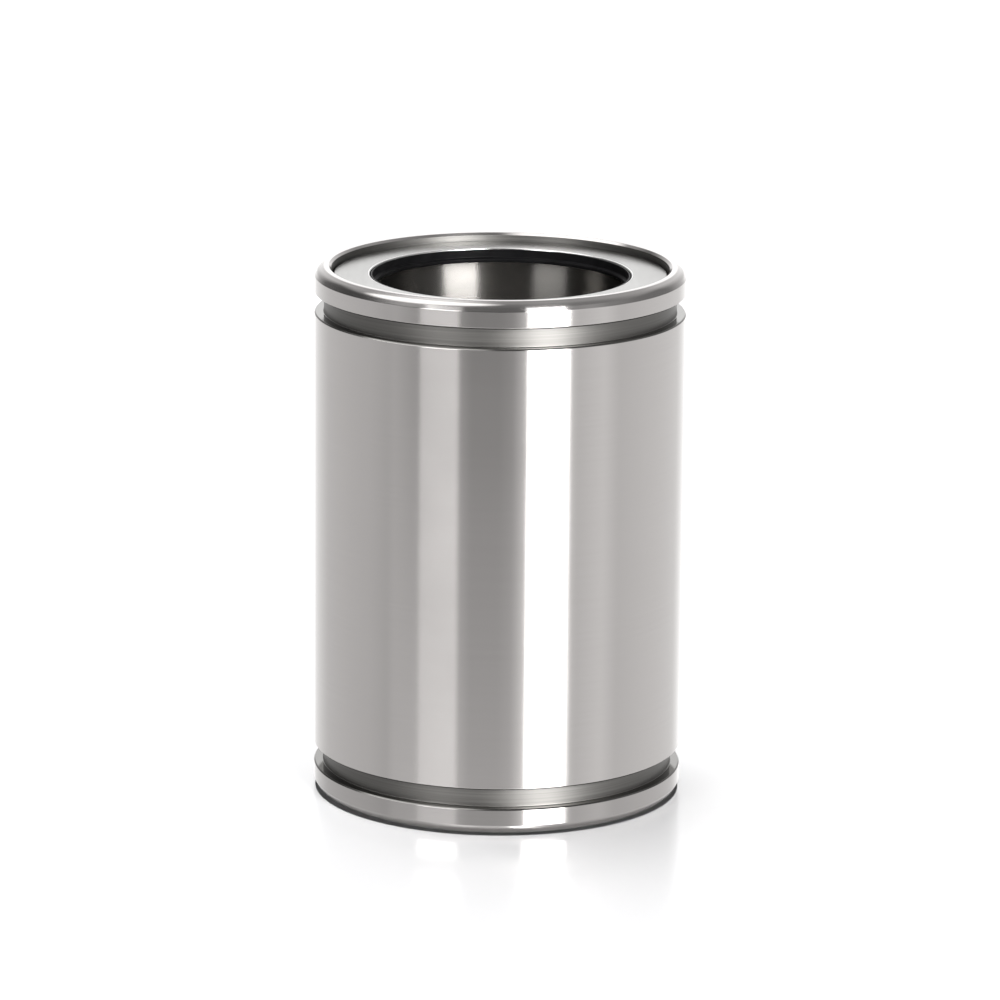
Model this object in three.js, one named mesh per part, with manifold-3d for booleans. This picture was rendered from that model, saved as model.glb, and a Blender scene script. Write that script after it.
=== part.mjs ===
// Linear ball bushing of the stroke (slide and rotary) kind, 30 x 45 x 65 mm.
// A hardened sleeve holds a loose tubular retainer full of balls. The balls roll between a 30 mm
// shaft and the sleeve's plain bore, so the shaft can slide and turn. Each end of the sleeve is
// closed by a steel end plate, a rubber seal and a wavy cushion spring.
// Millimetres. The axis is +Z and the lower end face stands on z = 0.
import * as THREE from "three";
import { mergeVertices } from "three/addons/utils/BufferGeometryUtils.js";
import Module from "manifold-3d";

const wasm = await Module();
wasm.setup();

// --- Driving dimensions -------------------------------------------------------------------------
const SHAFT_RADIUS = 15;
const BALL_RADIUS = 1.9845; // 5/32 inch balls
const LENGTH = 65;
const OUTER_RADIUS = 22.5;
const SEGMENTS = 64; // sides of every ring

// Sleeve: end chamfers, ring grooves and counterbores. Depths are measured from each end face.
const END_CHAMFER = 1.05;
const GROOVE_RADIUS = 21.35;
const GROOVE_NEAR = 3.2;
const GROOVE_WIDTH = 2.4;
const EDGE_BREAK = 0.15;
const COUNTERBORE_RADIUS = 20.45;
const COUNTERBORE_CHAMFER = 0.3;
const COUNTERBORE_DEPTH = 3.35;
const RACE_CLEARANCE = 0.012;

// End plate, seal and cushion spring, again as depths from the end face.
const PLATE_FACE_DEPTH = 1;
const PLATE_THICKNESS = 0.45;
const PLATE_OUTER_RADIUS = 20.2;
const PLATE_BORE_RADIUS = 15.8;
const PLATE_EDGE = 0.15;
const SEAL_FACE_DEPTH = 1.52;
const SEAL_INNER_DEPTH = 2.55;
const SEAL_COLLAR_DEPTH = 1.12;
const SEAL_COLLAR_RADIUS = 15.7;
const SEAL_BODY_RADIUS = 15.5;
const SEAL_LIP_RADIUS = 15.1;
const SEAL_LIP_TOP = 2.25;
const SEAL_LIP_DEPTH = 2.7;
const SEAL_LIP_TIP = 0.15;
const SPRING_MIDDLE_DEPTH = 2.94;
const SPRING_THICKNESS = 0.36;
const SPRING_WAVE = 0.11;
const SPRING_WAVES = 4;
const SPRING_INNER_RADIUS = 17.2;
const RING_RADIUS = 20.1; // outer radius of the seals and springs

// Retainer and its rows of balls.
const RETAINER_INNER_RADIUS = 15.6;
const RETAINER_OUTER_RADIUS = 18.45;
const RETAINER_LENGTH = 20.7;
const RETAINER_BOTTOM = 3.45;
const RETAINER_CHAMFER = 0.3;
const ROWS = 4;
const BALLS_PER_ROW = 12;
const ROW_PITCH = 4.95;
const POCKET_RADIUS = 2.2;
const POCKET_SIDES = 12;
const DRILL_LENGTH = 6; // long enough to pass right through the tube's wall
const BALL_DETAIL = 1;

// Worked out from the above.
const BALL_CENTRE_RADIUS = SHAFT_RADIUS + BALL_RADIUS;
const RACE_FLAT_RADIUS = BALL_CENTRE_RADIUS + BALL_RADIUS + RACE_CLEARANCE;
const RACE_RADIUS = RACE_FLAT_RADIUS / Math.cos(Math.PI / SEGMENTS); // at the ring's corners
const FIRST_ROW = (RETAINER_LENGTH - (ROWS - 1) * ROW_PITCH) / 2;

// --- Materials ----------------------------------------------------------------------------------
const metal = (color, roughness) =>
  new THREE.MeshStandardMaterial({ color, roughness, metalness: 1 });
const groundSteel = metal(0xb9b7b3, 0.3);
const plateSteel = metal(0xc9c8c5, 0.4);
const springSteel = metal(0x8d8f93, 0.35);
const aluminium = metal(0xc3c5c8, 0.45);
const ballSteel = metal(0xdadcde, 0.08);
const blackRubber = new THREE.MeshStandardMaterial({
  color: 0x17171a,
  roughness: 0.75,
  metalness: 0,
});

const bushing = new THREE.Group();

function addMesh(name, geometry, material) {
  const mesh = new THREE.Mesh(geometry, material);
  mesh.name = name;
  bushing.add(mesh);
  return mesh;
}

// --- Shapes -------------------------------------------------------------------------------------
// A ring turned about Z from a closed outline of [radius, height] corners, with the metal on the
// left of the outline as it is walked.
function turned(outline) {
  const corners = [...outline, outline[0]].map(([radius, height]) => new THREE.Vector2(radius, height));
  return new THREE.LatheGeometry(corners, SEGMENTS).rotateX(Math.PI / 2);
}

// The same outline seen from the other end of the sleeve.
const mirrored = (outline) => outline.map(([radius, height]) => [radius, LENGTH - height]).reverse();

function toSolid(geometry) {
  const bare = geometry.clone();
  bare.deleteAttribute("normal");
  bare.deleteAttribute("uv");
  const merged = mergeVertices(bare, 1e-4);
  return new wasm.Manifold(
    new wasm.Mesh({
      numProp: 3,
      vertProperties: merged.attributes.position.array,
      triVerts: new Uint32Array(merged.index.array),
    }),
  );
}

function toGeometry(solid) {
  const mesh = solid.getMesh();
  return new THREE.BufferGeometry()
    .setAttribute("position", new THREE.BufferAttribute(mesh.vertProperties, 3))
    .setIndex(new THREE.BufferAttribute(mesh.triVerts, 1));
}

// --- Outer sleeve -------------------------------------------------------------------------------
// One end's outside, from the middle of the sleeve out to the end face: ring groove and chamfer.
function endOutside() {
  const wall = GROOVE_NEAR + GROOVE_WIDTH;
  return [
    [OUTER_RADIUS, wall + EDGE_BREAK],
    [OUTER_RADIUS - EDGE_BREAK, wall],
    [GROOVE_RADIUS, wall],
    [GROOVE_RADIUS, GROOVE_NEAR],
    [OUTER_RADIUS - EDGE_BREAK, GROOVE_NEAR],
    [OUTER_RADIUS, GROOVE_NEAR - EDGE_BREAK],
    [OUTER_RADIUS, END_CHAMFER],
    [OUTER_RADIUS - END_CHAMFER, 0],
  ];
}

// One end's inside, from the end face in to the raceway: counterbore and its shoulder.
function endInside() {
  return [
    [COUNTERBORE_RADIUS + COUNTERBORE_CHAMFER, 0],
    [COUNTERBORE_RADIUS, COUNTERBORE_CHAMFER],
    [COUNTERBORE_RADIUS, COUNTERBORE_DEPTH],
    [RACE_RADIUS, COUNTERBORE_DEPTH],
  ];
}

function outerSleeve() {
  const lowerEnd = [...endOutside(), ...endInside()].reverse();
  const upperEnd = mirrored(lowerEnd);
  addMesh("outer_sleeve", turned([...lowerEnd, ...upperEnd]), groundSteel);
}

// --- End plates, seals and cushion springs ------------------------------------------------------
const PLATE_OUTLINE = [
  [PLATE_BORE_RADIUS + PLATE_EDGE, PLATE_FACE_DEPTH],
  [PLATE_OUTER_RADIUS - PLATE_EDGE, PLATE_FACE_DEPTH],
  [PLATE_OUTER_RADIUS, PLATE_FACE_DEPTH + PLATE_EDGE],
  [PLATE_OUTER_RADIUS, PLATE_FACE_DEPTH + PLATE_THICKNESS],
  [PLATE_BORE_RADIUS, PLATE_FACE_DEPTH + PLATE_THICKNESS],
  [PLATE_BORE_RADIUS, PLATE_FACE_DEPTH + PLATE_EDGE],
];

// The seal is a thick washer. A collar on it fills the plate's bore, and its lip reaches in, away
// from the end face, to the shaft.
const SEAL_OUTLINE = [
  [SEAL_BODY_RADIUS, SEAL_COLLAR_DEPTH],
  [SEAL_COLLAR_RADIUS, SEAL_COLLAR_DEPTH],
  [SEAL_COLLAR_RADIUS, SEAL_FACE_DEPTH],
  [RING_RADIUS, SEAL_FACE_DEPTH],
  [RING_RADIUS, SEAL_INNER_DEPTH],
  [SEAL_BODY_RADIUS + SEAL_LIP_TIP, SEAL_INNER_DEPTH],
  [SEAL_LIP_RADIUS + SEAL_LIP_TIP, SEAL_LIP_DEPTH],
  [SEAL_LIP_RADIUS, SEAL_LIP_DEPTH - SEAL_LIP_TIP],
  [SEAL_LIP_RADIUS, SEAL_LIP_TOP],
  [SEAL_BODY_RADIUS, SEAL_LIP_TOP - SEAL_LIP_TIP],
];

// A flat ring bent into waves round its circumference.
function waveSpring() {
  const half = SPRING_THICKNESS / 2;
  const ring = turned([
    [SPRING_INNER_RADIUS, -half],
    [RING_RADIUS, -half],
    [RING_RADIUS, half],
    [SPRING_INNER_RADIUS, half],
  ]);
  const place = ring.attributes.position;
  for (let i = 0; i < place.count; i++) {
    const angle = Math.atan2(place.getY(i), place.getX(i));
    place.setZ(i, place.getZ(i) + SPRING_WAVE * Math.cos(SPRING_WAVES * angle));
  }
  return ring;
}

function endFittings() {
  addMesh("lower_end_plate", turned(PLATE_OUTLINE), plateSteel);
  addMesh("upper_end_plate", turned(mirrored(PLATE_OUTLINE)), plateSteel);
  addMesh("lower_seal", turned(SEAL_OUTLINE), blackRubber);
  addMesh("upper_seal", turned(mirrored(SEAL_OUTLINE)), blackRubber);
  addMesh("lower_wave_spring", waveSpring(), springSteel).position.z = SPRING_MIDDLE_DEPTH;
  addMesh("upper_wave_spring", waveSpring(), springSteel).position.z = LENGTH - SPRING_MIDDLE_DEPTH;
}

// --- Retainer and balls -------------------------------------------------------------------------
// Where every ball sits: each row is turned by a share of the ball spacing, so that each ball
// rolls along a track of its own.
function ballPlaces() {
  const spacing = (2 * Math.PI) / BALLS_PER_ROW;
  const places = [];
  for (let row = 0; row < ROWS; row++)
    for (let n = 0; n < BALLS_PER_ROW; n++)
      places.push({
        angle: (n + row / ROWS) * spacing,
        height: RETAINER_BOTTOM + FIRST_ROW + row * ROW_PITCH,
      });
  return places;
}

function pocketDrill({ angle, height }) {
  const drill = new THREE.CylinderGeometry(POCKET_RADIUS, POCKET_RADIUS, DRILL_LENGTH, POCKET_SIDES);
  return drill
    .rotateZ(-Math.PI / 2)
    .translate(BALL_CENTRE_RADIUS, 0, 0)
    .rotateZ(angle)
    .translate(0, 0, height);
}

function ballRetainer(places) {
  const top = RETAINER_BOTTOM + RETAINER_LENGTH;
  const tube = turned([
    [RETAINER_INNER_RADIUS, RETAINER_BOTTOM],
    [RETAINER_OUTER_RADIUS - RETAINER_CHAMFER, RETAINER_BOTTOM],
    [RETAINER_OUTER_RADIUS, RETAINER_BOTTOM + RETAINER_CHAMFER],
    [RETAINER_OUTER_RADIUS, top - RETAINER_CHAMFER],
    [RETAINER_OUTER_RADIUS - RETAINER_CHAMFER, top],
    [RETAINER_INNER_RADIUS, top],
  ]);
  const drilled = places.reduce(
    (solid, place) => solid.subtract(toSolid(pocketDrill(place))),
    toSolid(tube),
  );
  addMesh("ball_retainer", toGeometry(drilled), aluminium);
}

function balls(places) {
  places.forEach(({ angle, height }, i) => {
    const number = String(i + 1).padStart(2, "0");
    const sphere = new THREE.IcosahedronGeometry(BALL_RADIUS, BALL_DETAIL);
    const ball = addMesh(`ball_${number}`, sphere, ballSteel);
    ball.position.set(
      BALL_CENTRE_RADIUS * Math.cos(angle),
      BALL_CENTRE_RADIUS * Math.sin(angle),
      height,
    );
    ball.rotation.z = angle;
  });
}

outerSleeve();
endFittings();
const places = ballPlaces();
ballRetainer(places);
balls(places);

export default bushing;
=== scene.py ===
import math

import bmesh
import bpy
from mathutils import Matrix, Quaternion, Vector


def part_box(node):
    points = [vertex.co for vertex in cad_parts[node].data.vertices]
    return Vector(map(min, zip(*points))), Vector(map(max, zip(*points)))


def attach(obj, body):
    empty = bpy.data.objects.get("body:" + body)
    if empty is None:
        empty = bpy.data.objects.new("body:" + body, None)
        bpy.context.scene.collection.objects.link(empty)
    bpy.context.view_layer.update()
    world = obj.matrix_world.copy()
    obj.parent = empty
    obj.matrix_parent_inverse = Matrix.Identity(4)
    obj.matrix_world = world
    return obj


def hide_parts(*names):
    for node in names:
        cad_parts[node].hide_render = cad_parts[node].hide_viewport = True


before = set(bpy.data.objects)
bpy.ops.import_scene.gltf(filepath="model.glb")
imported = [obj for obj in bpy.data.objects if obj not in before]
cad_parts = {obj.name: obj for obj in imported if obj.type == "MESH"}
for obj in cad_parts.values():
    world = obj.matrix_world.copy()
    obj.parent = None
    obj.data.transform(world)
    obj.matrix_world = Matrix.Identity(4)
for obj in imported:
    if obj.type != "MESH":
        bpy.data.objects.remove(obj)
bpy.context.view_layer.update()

# Shapes are given in millimetres and MM turns them into metres. The camera, the floor and the light
# are in metres.
MM = 0.001
LENGTH = 65.0
SEGMENTS = 256  # round the axis

# Camera: a long lens on a small product, looking down on it from the front.
CAMERA_DISTANCE = 0.686
CAMERA_PITCH = math.radians(13.71)
CAMERA_ROLL = math.radians(0.492)
CAMERA_TARGET = Vector((0.00016, 0.0, 0.0358))
CAMERA_LENS = 202.4
CAMERA_SENSOR = 36

# ------------------------------------------------------------------------------------------------
# Turned shapes
# ------------------------------------------------------------------------------------------------


def rounded(corners, steps=4, run=0.02):
    """A closed outline of [radius, height] points from (radius, height, fillet) corners.

    Each corner becomes an arc with a short straight run on both sides, which keeps the flats flat.
    """
    outline = []
    for i, (radius, height, fillet) in enumerate(corners):
        here = Vector((radius, height))
        back = (Vector(corners[i - 1][:2]) - here).normalized()
        ahead = (Vector(corners[(i + 1) % len(corners)][:2]) - here).normalized()
        half = back.angle(ahead) / 2
        reach = fillet / math.tan(half)
        centre = here + (back + ahead).normalized() * (fillet / math.sin(half))
        start, end = here + back * reach - centre, here + ahead * reach - centre
        sweep = start.angle_signed(end)
        outline.append(centre + start + back * run)
        for step in range(steps + 1):
            turn = -sweep * step / steps
            outline.append(centre + Matrix.Rotation(turn, 2) @ start)
        outline.append(centre + end + ahead * run)
    return outline


def mirrored(corners):
    """The same corners at the other end of the bushing, still walked the same way round."""
    return [(radius, LENGTH - height, fillet) for radius, height, fillet in reversed(corners)]


def turned(name, outline, body, node, materials, lift=None, finish=None):
    """A ring swept about Z from a closed outline.

    lift(angle) raises the outline along the ring. finish(radius, height) picks a material's number.
    """
    mesh = bpy.data.meshes.new(name)
    points, faces = [], []
    for n in range(SEGMENTS):
        angle = 2 * math.pi * n / SEGMENTS
        raise_by = lift(angle) if lift else 0.0
        for radius, height in outline:
            x, y = radius * math.cos(angle), radius * math.sin(angle)
            points.append((x * MM, y * MM, (height + raise_by) * MM))
    count = len(outline)
    for n in range(SEGMENTS):
        here, there = n * count, (n + 1) % SEGMENTS * count
        for i in range(count):
            j = (i + 1) % count
            faces.append((here + i, there + i, there + j, here + j))
    mesh.from_pydata(points, [], faces)
    if finish:
        for i, face in enumerate(mesh.polygons):
            middle = (outline[i % count] + outline[(i + 1) % count]) / 2
            face.material_index = finish(*middle)
    return placed(name, mesh, body, node, materials)


def placed(name, mesh, body, node, materials):
    """A smooth-shaded piece of that mesh, in place of a CAD node."""
    mesh.shade_smooth()
    for material in materials:
        mesh.materials.append(material)
    piece = bpy.data.objects.new(name, mesh)
    bpy.context.scene.collection.objects.link(piece)
    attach(piece, body)
    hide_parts(node)
    return piece


# ------------------------------------------------------------------------------------------------
# Materials
# ------------------------------------------------------------------------------------------------


# Noise seldom leaves this band, which is stretched over the range asked for.
NOISE_LOW, NOISE_HIGH = 0.3, 0.7


class Shader:
    """A small helper that adds nodes to one material and links them."""

    def __init__(self, name):
        self.material = bpy.data.materials.new(name)
        self.material.use_nodes = True
        self.tree = self.material.node_tree
        self.surface = self.tree.nodes["Principled BSDF"]

    def node(self, kind, settings=(), **inputs):
        made = self.tree.nodes.new(kind)
        for key, value in dict(settings).items():
            setattr(made, key, value)
        for key, value in inputs.items():
            self.feed(made, key.replace("_", " "), value)
        return made

    def feed(self, node, socket, value):
        if isinstance(value, bpy.types.NodeSocket):
            self.tree.links.new(value, node.inputs[socket])
        else:
            node.inputs[socket].default_value = value

    def set(self, **inputs):
        for key, value in inputs.items():
            self.feed(self.surface, key.replace("_", " "), value)

    def noise(self, scale, stretch=(1, 1, 1), detail=3.0, roughness=0.5):
        """Noise in object space. stretch multiplies the frequency along each axis."""
        where = self.node("ShaderNodeTexCoord").outputs["Object"]
        mapping = self.node("ShaderNodeMapping", Vector=where, Scale=stretch)
        texture = self.node(
            "ShaderNodeTexNoise",
            Vector=mapping.outputs["Vector"],
            Scale=scale,
            Detail=detail,
            Roughness=roughness,
        )
        return texture.outputs["Fac"]

    def spread(self, noise, low, high):
        """Noise as a number from low to high."""
        mapped = self.node(
            "ShaderNodeMapRange",
            Value=noise,
            From_Min=NOISE_LOW,
            From_Max=NOISE_HIGH,
            To_Min=low,
            To_Max=high,
        )
        return mapped.outputs["Result"]

    def tint(self, noise, dark, light):
        """Noise as a colour from dark to light."""
        ramp = self.node("ShaderNodeValToRGB", Fac=noise)
        ends = ((NOISE_LOW, dark), (NOISE_HIGH, light))
        for element, (position, colour) in zip(ramp.color_ramp.elements, ends):
            element.position = position
            element.color = (*colour, 1)
        return ramp.outputs["Color"]

    def bump(self, height, depth, strength=1.0):
        made = self.node("ShaderNodeBump", Height=height, Distance=depth, Strength=strength)
        self.feed(self.surface, "Normal", made.outputs["Normal"])

    def lathe_marks(self, anisotropy):
        """Stretches highlights across the marks that turning and grinding leave round the axis."""
        tangent = self.node("ShaderNodeTangent", {"direction_type": "RADIAL", "axis": "Z"})
        self.feed(self.surface, "Tangent", tangent.outputs["Tangent"])
        self.set(Anisotropic=anisotropy, Anisotropic_Rotation=0.25)


def ground_steel(name, dark, light):
    """Hardened steel, ground round its axis: sharp across, drawn out along the axis."""
    shader = Shader(name)
    lines = shader.noise(1.0, (60, 60, 5200), detail=3.0)
    cloud = shader.noise(110.0, detail=3.0)
    shader.set(
        Base_Color=shader.tint(lines, dark, light),
        Metallic=1.0,
        Roughness=shader.spread(cloud, 0.135, 0.15),
    )
    shader.lathe_marks(1.0)
    return shader.material


def turned_steel(name, dark, light, satin):
    """Left as the lathe and the quench made it: satin, and darker than the ground faces, the
    darkness partly painted shade inside the ring grooves.
    """
    shader = Shader(name)
    feed = shader.noise(1.0, (40, 40, 6500), detail=3.0)
    shader.set(
        Base_Color=shader.tint(feed, dark, light),
        Metallic=1.0,
        Roughness=shader.spread(feed, satin, satin + 0.06),
    )
    shader.lathe_marks(0.4)
    return shader.material


def honed_steel():
    """The raceway: a fine honed bore, its colour darkened as painted shade deep in the bore."""
    shader = Shader("honed_steel")
    lines = shader.noise(1.0, (80, 80, 4200), detail=3.0)
    shader.set(
        Base_Color=shader.tint(lines, (0.300, 0.289, 0.273), (0.322, 0.311, 0.295)),
        Metallic=1.0,
        Roughness=0.25,
    )
    shader.lathe_marks(1.0)
    return shader.material


def bored_steel():
    """The counterbore: plainly bored, duller and darker than the ground faces beside it, the
    darkness partly painted shade inside the counterbore.
    """
    shader = Shader("bored_steel")
    feed = shader.noise(1.0, (60, 60, 5200), detail=2.0)
    shader.set(
        Base_Color=shader.tint(feed, (0.135, 0.132, 0.126), (0.170, 0.166, 0.159)),
        Metallic=1.0,
        Roughness=shader.spread(feed, 0.46, 0.52),
    )
    shader.lathe_marks(0.3)
    return shader.material


def plate_steel():
    """Stamped strip with a fine satin face, rolled in one direction."""
    shader = Shader("plate_steel")
    rolled = shader.noise(1.0, (1500, 160, 160), detail=3.0)
    cloud = shader.noise(160.0, detail=2.0)
    shader.set(
        Base_Color=shader.tint(rolled, (0.322, 0.317, 0.308), (0.350, 0.345, 0.336)),
        Metallic=1.0,
        Roughness=shader.spread(cloud, 0.20, 0.24),
    )
    return shader.material


def painted_edge_highlight():
    """The plate's blanked inner edge, its colour lifted far above the plate's as a painted
    highlight.
    """
    shader = Shader("painted_edge_highlight")
    wear = shader.noise(900.0, detail=3.0)
    shader.set(
        Base_Color=shader.tint(wear, (0.80, 0.795, 0.785), (0.88, 0.875, 0.865)),
        Metallic=1.0,
        Roughness=shader.spread(wear, 0.18, 0.26),
    )
    return shader.material


def seal_rubber():
    """Black nitrile rubber with a fine moulded grain."""
    shader = Shader("seal_rubber")
    grain = shader.noise(3800.0, detail=4.0, roughness=0.6)
    dust = shader.noise(500.0, detail=3.0)
    shader.set(
        Base_Color=shader.tint(dust, (0.003, 0.003, 0.0033), (0.006, 0.006, 0.0064)),
        Roughness=shader.spread(grain, 0.32, 0.44),
        Specular_IOR_Level=0.07,
    )
    shader.bump(grain, 8e-6, 0.35)
    return shader.material


def spring_steel():
    """Rolled spring strip, a little darker and warmer than the ground parts."""
    shader = Shader("spring_steel")
    rolled = shader.noise(1.0, (500, 500, 3000), detail=3.0)
    shader.set(
        Base_Color=shader.tint(rolled, (0.33, 0.33, 0.34), (0.46, 0.455, 0.45)),
        Metallic=1.0,
        Roughness=shader.spread(rolled, 0.26, 0.36),
    )
    shader.bump(rolled, 3e-6, 0.3)
    return shader.material


def retainer_alloy():
    """Turned light alloy with fine feed marks."""
    shader = Shader("retainer_alloy")
    feed = shader.noise(1.0, (60, 60, 5200), detail=2.0)
    cloud = shader.noise(260.0, detail=4.0)
    shader.set(
        Base_Color=shader.tint(cloud, (0.66, 0.665, 0.67), (0.76, 0.76, 0.765)),
        Metallic=1.0,
        Roughness=shader.spread(feed, 0.30, 0.42),
    )
    shader.bump(feed, 4e-6, 0.4)
    shader.lathe_marks(0.5)
    return shader.material


def ball_steel():
    """Lapped bearing steel: a clear mirror with faint running tracks."""
    shader = Shader("ball_steel")
    tracks = shader.noise(900.0, (1, 1, 3), detail=2.0)
    shader.set(
        Base_Color=shader.tint(tracks, (0.66, 0.66, 0.665), (0.74, 0.74, 0.745)),
        Metallic=1.0,
        Roughness=shader.spread(tracks, 0.05, 0.12),
    )
    return shader.material


# The sleeve's finishes, by the numbers that its faces carry.
GROUND, GROOVE_FLOOR, HONED, BORED, GROOVE_WALL, SHADED_LAND = range(6)
STEELS = [
    ground_steel("ground_steel", (0.608, 0.584, 0.572), (0.620, 0.596, 0.584)),
    # The groove floors: darkened partly as painted shade in the grooves.
    turned_steel("groove_floor", (0.150, 0.146, 0.139), (0.192, 0.187, 0.179), 0.42),
    honed_steel(),
    bored_steel(),
    # The groove walls: dark partly as painted shade in the groove's creases.
    turned_steel("groove_wall", (0.165, 0.161, 0.153), (0.210, 0.205, 0.196), 0.08),
    # The lowest land is darker: painted shade from the table it stands on.
    ground_steel("shaded_land_steel", (0.480, 0.461, 0.451), (0.492, 0.473, 0.463)),
]
PLATE = [plate_steel(), painted_edge_highlight()]
RUBBER = seal_rubber()
SPRING = spring_steel()
ALLOY = retainer_alloy()
BALL = ball_steel()

# ------------------------------------------------------------------------------------------------
# Sleeve
# ------------------------------------------------------------------------------------------------
OUTER_RADIUS = 22.5
GROOVE_RADIUS = 21.35
RACE_RADIUS = 18.985
COUNTERBORE_RADIUS = 20.45
COUNTERBORE_DEPTH = 3.35
COUNTERBORE_CHAMFER = 0.3
GROOVE_TOP = 3.2  # depths of the ring groove's two walls, from the end face
GROOVE_BOTTOM = 5.6
GROOVE_CHAMFER = 0.15

# One end of the sleeve from the raceway out to the ring groove: radius, depth from the end face
# and edge fillet.
SLEEVE_END = [
    (RACE_RADIUS, COUNTERBORE_DEPTH, 0.08),
    (COUNTERBORE_RADIUS, COUNTERBORE_DEPTH, 0.05),
    (COUNTERBORE_RADIUS, COUNTERBORE_CHAMFER, 0.05),
    (COUNTERBORE_RADIUS + COUNTERBORE_CHAMFER, 0.0, 0.1),
    (21.4, 0.0, 0.3),
    (22.12, 0.4, 1.1),
    (OUTER_RADIUS, 1.12, 0.1),
    (OUTER_RADIUS, GROOVE_TOP - GROOVE_CHAMFER, 0.05),
    (OUTER_RADIUS - GROOVE_CHAMFER, GROOVE_TOP, 0.05),
    (GROOVE_RADIUS, GROOVE_TOP, 0.1),
    (GROOVE_RADIUS, GROOVE_BOTTOM, 0.1),
    (OUTER_RADIUS - GROOVE_CHAMFER, GROOVE_BOTTOM, 0.05),
    (OUTER_RADIUS, GROOVE_BOTTOM + GROOVE_CHAMFER, 0.05),
]
# How far past its own surface each finish runs onto the fillets.
RACE_RUN = 0.1
COUNTERBORE_RUN = 0.02
GROOVE_RUN = 0.05
LAND_RUN = 0.03


def sleeve_finish(radius, height):
    """Ground outside and on the end faces, turned in the grooves, bored and honed inside."""
    depth = min(height, LENGTH - height)
    if radius < RACE_RADIUS + RACE_RUN:
        return HONED
    if radius < COUNTERBORE_RADIUS + COUNTERBORE_RUN:
        return BORED
    groove = GROOVE_TOP - GROOVE_CHAMFER < depth < GROOVE_BOTTOM + GROOVE_CHAMFER
    if groove and radius < OUTER_RADIUS - LAND_RUN:
        return GROOVE_FLOOR if radius < GROOVE_RADIUS + GROOVE_RUN else GROOVE_WALL
    # The lowest land takes the darker copy of the ground steel, as painted shade.
    return SHADED_LAND if height < GROOVE_TOP else GROUND


def sleeve():
    outline = rounded(SLEEVE_END + mirrored(SLEEVE_END))
    turned(
        "ground_sleeve",
        outline,
        "sleeve",
        "outer_sleeve",
        STEELS,
        finish=sleeve_finish,
    )


# ------------------------------------------------------------------------------------------------
# End plates, seals and cushion springs
# ------------------------------------------------------------------------------------------------
# Their sections, as (radius, depth, fillet) like the sleeve's.
PLATE_BORE = 15.8
PLATE_RADIUS = 20.2
PLATE_TOP, PLATE_BOTTOM = 1.0, 1.45
PLATE_RING = [
    (PLATE_BORE, PLATE_TOP, 0.2),
    (PLATE_RADIUS, PLATE_TOP, 0.15),
    (PLATE_RADIUS, PLATE_BOTTOM, 0.08),
    (PLATE_BORE, PLATE_BOTTOM, 0.08),
]
PLATE_EDGE_RUN = 0.2
FITTING_RADIUS = 20.1
COLLAR_INNER, COLLAR_OUTER = 15.5, 15.7
COLLAR_TOP = 1.12
SEAL_TOP, SEAL_BOTTOM = 1.52, 2.55
LIP_RADIUS = 15.1
SEAL_RING = [
    (COLLAR_INNER, COLLAR_TOP, 0.06),
    (COLLAR_OUTER, COLLAR_TOP, 0.06),
    (COLLAR_OUTER, SEAL_TOP, 0.02),
    (FITTING_RADIUS, SEAL_TOP, 0.1),
    (FITTING_RADIUS, SEAL_BOTTOM, 0.1),
    (15.65, SEAL_BOTTOM, 0.1),
    (15.25, 2.7, 0.05),
    (LIP_RADIUS, SEAL_BOTTOM, 0.05),
    (LIP_RADIUS, 2.25, 0.06),
    (COLLAR_INNER, 2.1, 0.1),
]
SPRING_BORE = 17.2
SPRING_TOP, SPRING_BOTTOM = 2.76, 3.12
SPRING_STRIP = [
    (SPRING_BORE, SPRING_TOP, 0.07),
    (FITTING_RADIUS, SPRING_TOP, 0.07),
    (FITTING_RADIUS, SPRING_BOTTOM, 0.07),
    (SPRING_BORE, SPRING_BOTTOM, 0.07),
]
SPRING_WAVE = 0.11
SPRING_WAVES = 4


def plate_finish(radius, height):
    """Which of PLATE a face gets: the face's own steel, or the inner edge's painted highlight."""
    return 1 if radius < PLATE_BORE + PLATE_EDGE_RUN else 0


def spring_lift(angle):
    return SPRING_WAVE * math.cos(SPRING_WAVES * angle)


def end_fittings():
    for end, flip, spring_body in (
        ("lower", lambda ring: ring, "lower_spring"),
        ("upper", mirrored, "sleeve"),
    ):
        plate, seal, strip = (rounded(flip(ring)) for ring in (PLATE_RING, SEAL_RING, SPRING_STRIP))
        turned(
            f"{end}_plate_ring",
            plate,
            "sleeve",
            f"{end}_end_plate",
            PLATE,
            finish=plate_finish,
        )
        turned(f"{end}_seal_ring", seal, "sleeve", f"{end}_seal", [RUBBER])
        turned(
            f"{end}_cushion_spring",
            strip,
            spring_body,
            f"{end}_wave_spring",
            [SPRING],
            lift=spring_lift,
        )


# ------------------------------------------------------------------------------------------------
# Retainer
# ------------------------------------------------------------------------------------------------
RETAINER_INNER = 15.6
RETAINER_OUTER = 18.45
RETAINER_BOTTOM = 3.45
RETAINER_LENGTH = 20.7
ROWS = 4
BALLS_PER_ROW = 12
ROW_PITCH = 4.95
POCKET_RADIUS = 2.12
POCKET_FILLET = 0.12
OUTER_RIM_FILLET = 0.3
INNER_RIM_FILLET = 0.1
WELD = 2e-6  # metres
FLAT = 0.02  # the short straight run beside a fillet
ARC_MIDDLE = 0.3  # an arc's middle point stands in from its corner by this share of the fillet
CELL_COLUMNS = 16  # steps along one ball spacing
CELL_ROWS = 8  # steps along one row pitch
QUARTER_TURN = [math.pi / 2 * step / 4 for step in range(5)]


def cell_rim():
    """The points round one pocket's cell, as shares of its width and height from -0.5 to 0.5."""
    across = [n / CELL_COLUMNS - 0.5 for n in range(CELL_COLUMNS)]
    up = [n / CELL_ROWS - 0.5 for n in range(CELL_ROWS)]
    bottom = [(a, -0.5) for a in across]
    right = [(0.5, b) for b in up]
    top = [(-a, 0.5) for a in across]
    left = [(-0.5, -b) for b in up]
    return bottom + right + top + left


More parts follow.
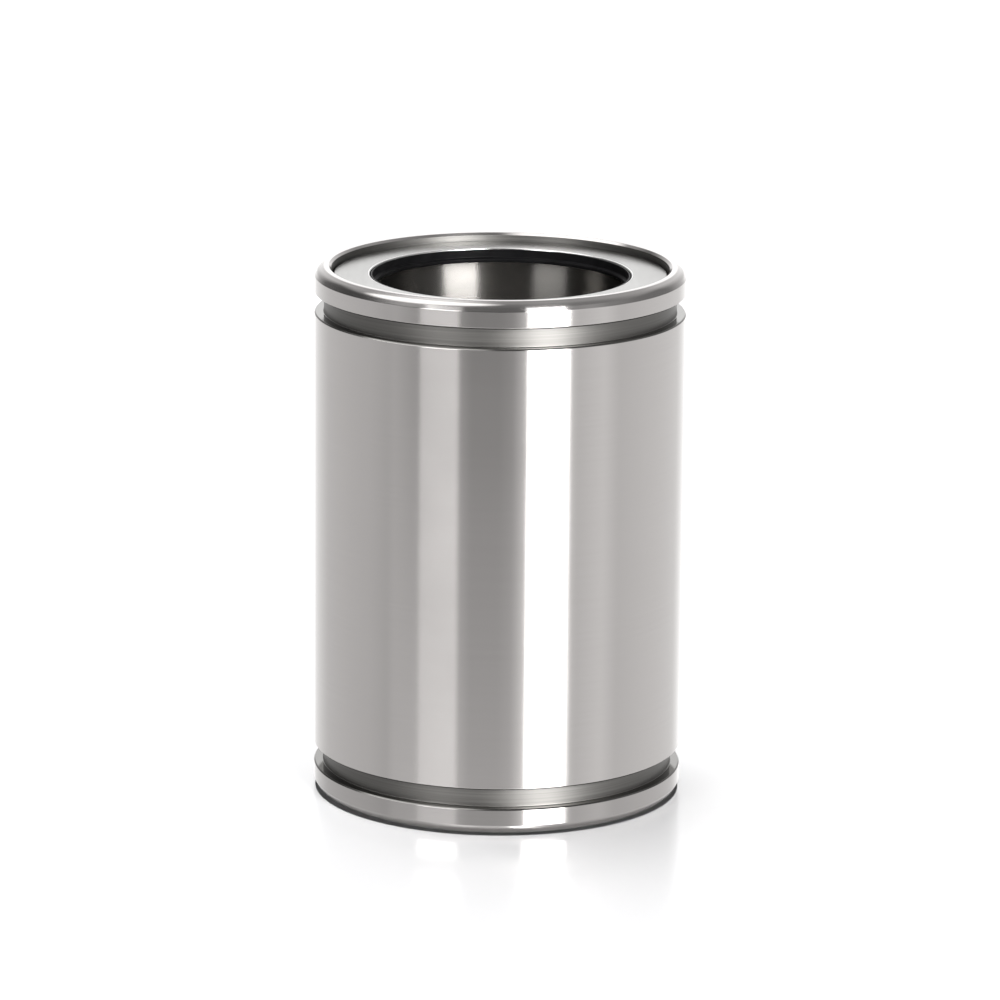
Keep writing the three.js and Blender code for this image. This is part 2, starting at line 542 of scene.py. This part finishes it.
def retainer_mesh():
    """A tube cut into one cell for each pocket: a round hole joined by quads to the cell's rim."""
    bm = bmesh.new()
    spacing = 2 * math.pi / BALLS_PER_ROW
    rim = cell_rim()
    first_row = (RETAINER_LENGTH - (ROWS - 1) * ROW_PITCH) / 2
    middle_radius = (RETAINER_INNER + RETAINER_OUTER) / 2

    def vertex(radius, angle, height):
        return bm.verts.new(
            (radius * math.cos(angle) * MM, radius * math.sin(angle) * MM, height * MM)
        )

    def hole_ring(radius, hole_radius, angle, height):
        ring = []
        for a, b in rim:
            way = math.atan2(b * ROW_PITCH, a * spacing * middle_radius)
            along = hole_radius * math.cos(way)
            turn = angle + math.asin(along / radius)
            ring.append(vertex(radius, turn, height + hole_radius * math.sin(way)))
        return ring

    def bridge(one, other):
        for i in range(len(one)):
            j = (i + 1) % len(one)
            bm.faces.new((one[i], one[j], other[j], other[i]))

    def shell_ring(radius, angle, height):
        return [vertex(radius, angle + a * spacing, height + b * ROW_PITCH) for a, b in rim]

    # A pocket's lip from the shell inwards, as (depth below the shell, widening of the hole).
    lip = [
        (0.0, POCKET_FILLET + FLAT),
        (0.0, POCKET_FILLET),
        (ARC_MIDDLE * POCKET_FILLET, ARC_MIDDLE * POCKET_FILLET),
        (POCKET_FILLET, 0.0),
        (POCKET_FILLET + FLAT, 0.0),
    ]
    for row in range(ROWS):
        for n in range(BALLS_PER_ROW):
            angle = (n + row / ROWS) * spacing
            height = RETAINER_BOTTOM + first_row + row * ROW_PITCH
            rings = [shell_ring(RETAINER_OUTER, angle, height)]
            for depth, wider in lip:
                rings.append(
                    hole_ring(RETAINER_OUTER - depth, POCKET_RADIUS + wider, angle, height)
                )
            for depth, wider in reversed(lip):
                rings.append(
                    hole_ring(RETAINER_INNER + depth, POCKET_RADIUS + wider, angle, height)
                )
            rings.append(shell_ring(RETAINER_INNER, angle, height))
            for one, other in zip(rings, rings[1:]):
                bridge(one, other)

    # The plain bands above and below the pockets, with rounded rims.
    columns = BALLS_PER_ROW * CELL_COLUMNS
    margin = first_row - ROW_PITCH / 2
    profile = [(RETAINER_OUTER, 0.0), (RETAINER_OUTER, margin - OUTER_RIM_FILLET - FLAT)]
    for turn in QUARTER_TURN:
        radius = RETAINER_OUTER - OUTER_RIM_FILLET * (1 - math.cos(turn))
        profile.append((radius, margin - OUTER_RIM_FILLET * (1 - math.sin(turn))))
    profile.append((RETAINER_INNER + INNER_RIM_FILLET + FLAT, margin))
    for turn in QUARTER_TURN[1:]:
        radius = RETAINER_INNER + INNER_RIM_FILLET * (1 - math.sin(turn))
        profile.append((radius, margin - INNER_RIM_FILLET * (1 - math.cos(turn))))
    profile.append((RETAINER_INNER, 0.0))
    # Each band starts at the cell edges of the row beside it: its base, direction and first angle.
    lower = (RETAINER_BOTTOM + margin, -1, 0.0)
    upper = (RETAINER_BOTTOM + RETAINER_LENGTH - margin, 1, (ROWS - 1) / ROWS)
    for base, sign, start in (lower, upper):
        rings = [
            [
                vertex(radius, (n / CELL_COLUMNS - 0.5 + start) * spacing, base + sign * out)
                for n in range(columns)
            ]
            for radius, out in profile
        ]
        for one, other in zip(rings, rings[1:]):
            bridge(one, other)
    bmesh.ops.remove_doubles(bm, verts=bm.verts, dist=WELD)
    bmesh.ops.recalc_face_normals(bm, faces=bm.faces)
    mesh = bpy.data.meshes.new("pocketed_retainer")
    bm.to_mesh(mesh)
    bm.free()
    return mesh


def retainer():
    mesh = retainer_mesh()
    placed("pocketed_retainer", mesh, "retainer", "ball_retainer", [ALLOY])


# ------------------------------------------------------------------------------------------------
# Balls
# ------------------------------------------------------------------------------------------------
BALL_RADIUS = 1.9845


def balls():
    """One shared sphere, placed at each ball's CAD node."""
    bm = bmesh.new()
    bmesh.ops.create_icosphere(bm, subdivisions=4, radius=BALL_RADIUS * MM)
    sphere = bpy.data.meshes.new("bearing_ball")
    bm.to_mesh(sphere)
    bm.free()
    sphere.shade_smooth()
    sphere.materials.append(BALL)
    numbered = [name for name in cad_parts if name.removeprefix("ball_").isdigit()]
    for node in sorted(numbered):
        low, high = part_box(node)
        piece = bpy.data.objects.new(f"bearing_{node}", sphere)
        bpy.context.scene.collection.objects.link(piece)
        piece.location = (low + high) / 2
        piece.rotation_euler.z = math.atan2(piece.location.y, piece.location.x)
        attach(piece, node)
        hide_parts(node)


# ------------------------------------------------------------------------------------------------
# Camera, floor and light
# ------------------------------------------------------------------------------------------------


def add_camera():
    camera = bpy.data.objects.new("camera", bpy.data.cameras.new("camera"))
    bpy.context.scene.collection.objects.link(camera)
    camera.data.lens = CAMERA_LENS
    camera.data.sensor_width = CAMERA_SENSOR
    away = Vector((0, -math.cos(CAMERA_PITCH), math.sin(CAMERA_PITCH)))
    camera.location = CAMERA_TARGET + away * CAMERA_DISTANCE
    aim = (-away).to_track_quat("-Z", "Y")
    camera.rotation_mode = "QUATERNION"
    camera.rotation_quaternion = aim @ Quaternion((0, 0, 1), CAMERA_ROLL)
    bpy.context.scene.camera = camera


# The studio by bearing, in degrees from the camera, + to its right. Above the horizon stand a strip
# box on the left, a much stronger one on the right, dark walls round the camera and white ones
# behind the bushing. Below it is what the glossy table shows of them.
WALLS = [
    (-180, 1.50), (-160, 0.75), (-140, 0.15), (-114, 0.08), (-90, 0.07), (-60, 0.12),
    (-50, 0.12), (-49.3, 5.4), (-25.5, 5.4), (-25, 0.05), (0, 0.03), (17.2, 0.08), (17.8, 26.0),
    (43, 26.0), (43.6, 0.90), (62, 0.80), (76, 0.35), (100, 0.22), (130, 0.22), (160, 0.80),
    (180, 1.50),
]
TABLE = [
    (-180, 1.60), (-160, 1.02), (-133, 0.74), (-87, 0.65), (-68, 0.56), (-60, 0.40), (-54, 0.28),
    (-49.8, 0.22), (-49.2, 0.35), (-25.5, 0.41), (-25, 0.20), (-17, 0.10), (0, 0.10), (8, 0.16),
    (17, 0.50), (17.6, 3.5), (43, 3.5), (43.7, 0.80), (50, 0.72), (68, 0.88), (80, 0.74),
    (104, 0.81), (144, 0.90), (159, 1.18), (180, 1.60),
]
# The table also glows towards its near edge, in front of the bushing.
TABLE_GLOW = [(-90, 1.0), (-40, 0.95), (-25, 0.85), (-16.3, 0.58), (-12.4, 0.0), (90, 0.0)]
GLOW_WIDTH = [(-180, 0.0), (-74, 0.0), (-52, 1.0), (44, 1.0), (47, 0.0), (180, 0.0)]
# How far up the walls reach, and the ceiling from the front to the back.
WALL_TOP = [(-90, 1.0), (29, 1.0), (38, 0.0), (90, 0.0)]
CEILING = [(-1, 0.14), (-0.8, 0.17), (0, 0.26), (0.7, 0.50), (1, 0.80)]
# A soft box hung overhead to the left: the direction of its middle, and its level by the cosine of
# the angle from there.
ROOF_BOX = (-0.45, 0.02, 0.88)
ROOF_LEVEL = [(0.0, 0.0), (0.875, 0.0), (0.93, 1.8), (1.0, 1.8)]
HORIZON = [(-90, 0.0), (-2, 0.0), (2, 1.0), (90, 1.0)]


def studio_world():
    world = bpy.data.worlds.new("studio")
    world.use_nodes = True
    tree = world.node_tree
    nodes, link = tree.nodes, tree.links.new
    nodes.clear()

    def math_node(operation, *values):
        made = nodes.new("ShaderNodeMath")
        made.operation = operation
        for i, value in enumerate(values):
            if isinstance(value, bpy.types.NodeSocket):
                link(value, made.inputs[i])
            else:
                made.inputs[i].default_value = value
        return made.outputs[0]

    def ramp(share, span, stops, middle=0.5):
        """Levels along share, which runs from 0 to 1 over that span of the stops' own scale.

        middle is the share at which the stops' scale is 0.
        """
        made = nodes.new("ShaderNodeValToRGB")
        elements = made.color_ramp.elements
        elements.remove(elements[1])
        for i, (place, level) in enumerate(stops):
            at = place / span + middle
            element = elements.new(at) if i else elements[0]
            element.position = at
            element.color = (level, level, level, 1)
        link(share, made.inputs["Fac"])
        return made.outputs["Color"]

    def mixed(kind, factor, first, second):
        """Two colours blended in that way, by a number or another socket."""
        made = nodes.new("ShaderNodeMix")
        made.data_type = "RGBA"
        made.blend_type = kind
        if isinstance(factor, bpy.types.NodeSocket):
            link(factor, made.inputs["Factor"])
        else:
            made.inputs["Factor"].default_value = factor
        colours = [i for i in made.inputs if i.type == "RGBA"]
        link(first, colours[0])
        link(second, colours[1])
        return [o for o in made.outputs if o.type == "RGBA"][0]

    where = nodes.new("ShaderNodeTexCoord")
    split = nodes.new("ShaderNodeSeparateXYZ")
    link(where.outputs["Generated"], split.inputs[0])
    back = math_node("MULTIPLY", split.outputs["Y"], -1.0)
    turn = math_node("ARCTAN2", split.outputs["X"], back)
    bearing = math_node("MULTIPLY_ADD", turn, 1 / (2 * math.pi), 0.5)
    rise = math_node("ARCSINE", split.outputs["Z"])
    elevation = math_node("MULTIPLY_ADD", rise, 1 / math.pi, 0.5)

    depth = math_node("MULTIPLY_ADD", split.outputs["Y"], 0.5, 0.5)
    walls = ramp(bearing, 360, WALLS)
    facing = nodes.new("ShaderNodeVectorMath")
    facing.operation = "DOT_PRODUCT"
    facing.inputs[1].default_value = Vector(ROOF_BOX).normalized()
    link(where.outputs["Generated"], facing.inputs[0])
    roof = ramp(facing.outputs["Value"], 1, ROOF_LEVEL, middle=0.0)
    ceiling = mixed("ADD", 1.0, ramp(depth, 2, CEILING), roof)
    above = mixed("MIX", ramp(elevation, 180, WALL_TOP), ceiling, walls)
    glow = mixed(
        "MULTIPLY", 1.0, ramp(elevation, 180, TABLE_GLOW), ramp(bearing, 360, GLOW_WIDTH)
    )
    below = mixed("ADD", 1.0, ramp(bearing, 360, TABLE), glow)
    level = mixed("MIX", ramp(elevation, 180, HORIZON), below, above)

    lit = nodes.new("ShaderNodeBackground")
    link(level, lit.inputs["Color"])
    plain = nodes.new("ShaderNodeBackground")
    plain.inputs["Color"].default_value = (1, 1, 1, 1)
    rays = nodes.new("ShaderNodeLightPath")
    mix = nodes.new("ShaderNodeMixShader")
    link(rays.outputs["Is Camera Ray"], mix.inputs["Fac"])
    link(lit.outputs[0], mix.inputs[1])
    link(plain.outputs[0], mix.inputs[2])
    output = nodes.new("ShaderNodeOutputWorld")
    link(mix.outputs[0], output.inputs["Surface"])
    bpy.context.scene.world = world


OVERHEAD_AT = (-0.2, 0.32, 1.0)
OVERHEAD_SIDE = 0.7
OVERHEAD_WATTS = 9.0


def add_overhead():
    """A soft light over the far side, which lays the bushing's shadow towards the camera."""
    data = bpy.data.lights.new("overhead", "AREA")
    data.shape = "SQUARE"
    data.size = OVERHEAD_SIDE
    data.energy = OVERHEAD_WATTS
    light = bpy.data.objects.new("overhead", data)
    bpy.context.scene.collection.objects.link(light)
    light.location = OVERHEAD_AT
    light.rotation_euler = (-Vector(OVERHEAD_AT)).to_track_quat("-Z", "Y").to_euler()
    light.visible_camera = False
    light.visible_glossy = False


FLOOR_DEPTH = 2e-5  # just below the lower end face, so that the two don't touch
TABLE_RADIUS = 6.0
SHADE_INNER, SHADE_OUTER = 0.0205, 0.02235
SHADE_AT = (0, -0.0003, 1e-5)


def floor_piece(name, circles, material):
    """A flat disc inside one circle, or a ring between two, at the floor's height."""
    mesh = bpy.data.meshes.new(name)
    turns = [2 * math.pi * n / SEGMENTS for n in range(SEGMENTS)]
    points = [(r * math.cos(a), r * math.sin(a), -FLOOR_DEPTH) for r in circles for a in turns]
    faces = [tuple(range(SEGMENTS))]
    if len(circles) == 2:
        ahead = [(n + 1) % SEGMENTS for n in range(SEGMENTS)]
        faces = [(n, m, SEGMENTS + m, SEGMENTS + n) for n, m in enumerate(ahead)]
    mesh.from_pydata(points, [], faces)
    mesh.materials.append(material)
    piece = bpy.data.objects.new(name, mesh)
    bpy.context.scene.collection.objects.link(piece)
    return piece


def add_floor():
    """A glossy white table. The steel sees it in the world's lower half instead.

    Only the dark ring round the foot of the bushing, painted contact shadow, is there for the
    bottom chamfer to mirror.
    """
    table = Shader("table")
    table.set(Base_Color=(0.65, 0.65, 0.657, 1), Roughness=0.15, Specular_IOR_Level=0.35)
    top = floor_piece("table_top", [TABLE_RADIUS], table.material)
    top.visible_glossy = False
    # A dark ring of painted contact shadow, which only reflections see.
    shade = Shader("table_shade")
    shade.set(Base_Color=(0.3, 0.3, 0.3, 1), Roughness=0.5)
    under = floor_piece("table_under", [SHADE_OUTER, SHADE_INNER], shade.material)
    under.location = SHADE_AT
    under.visible_camera = False


sleeve()
end_fittings()
retainer()
balls()
add_camera()
studio_world()
add_floor()
add_overhead()
bpy.context.scene.view_settings.view_transform = "Standard"
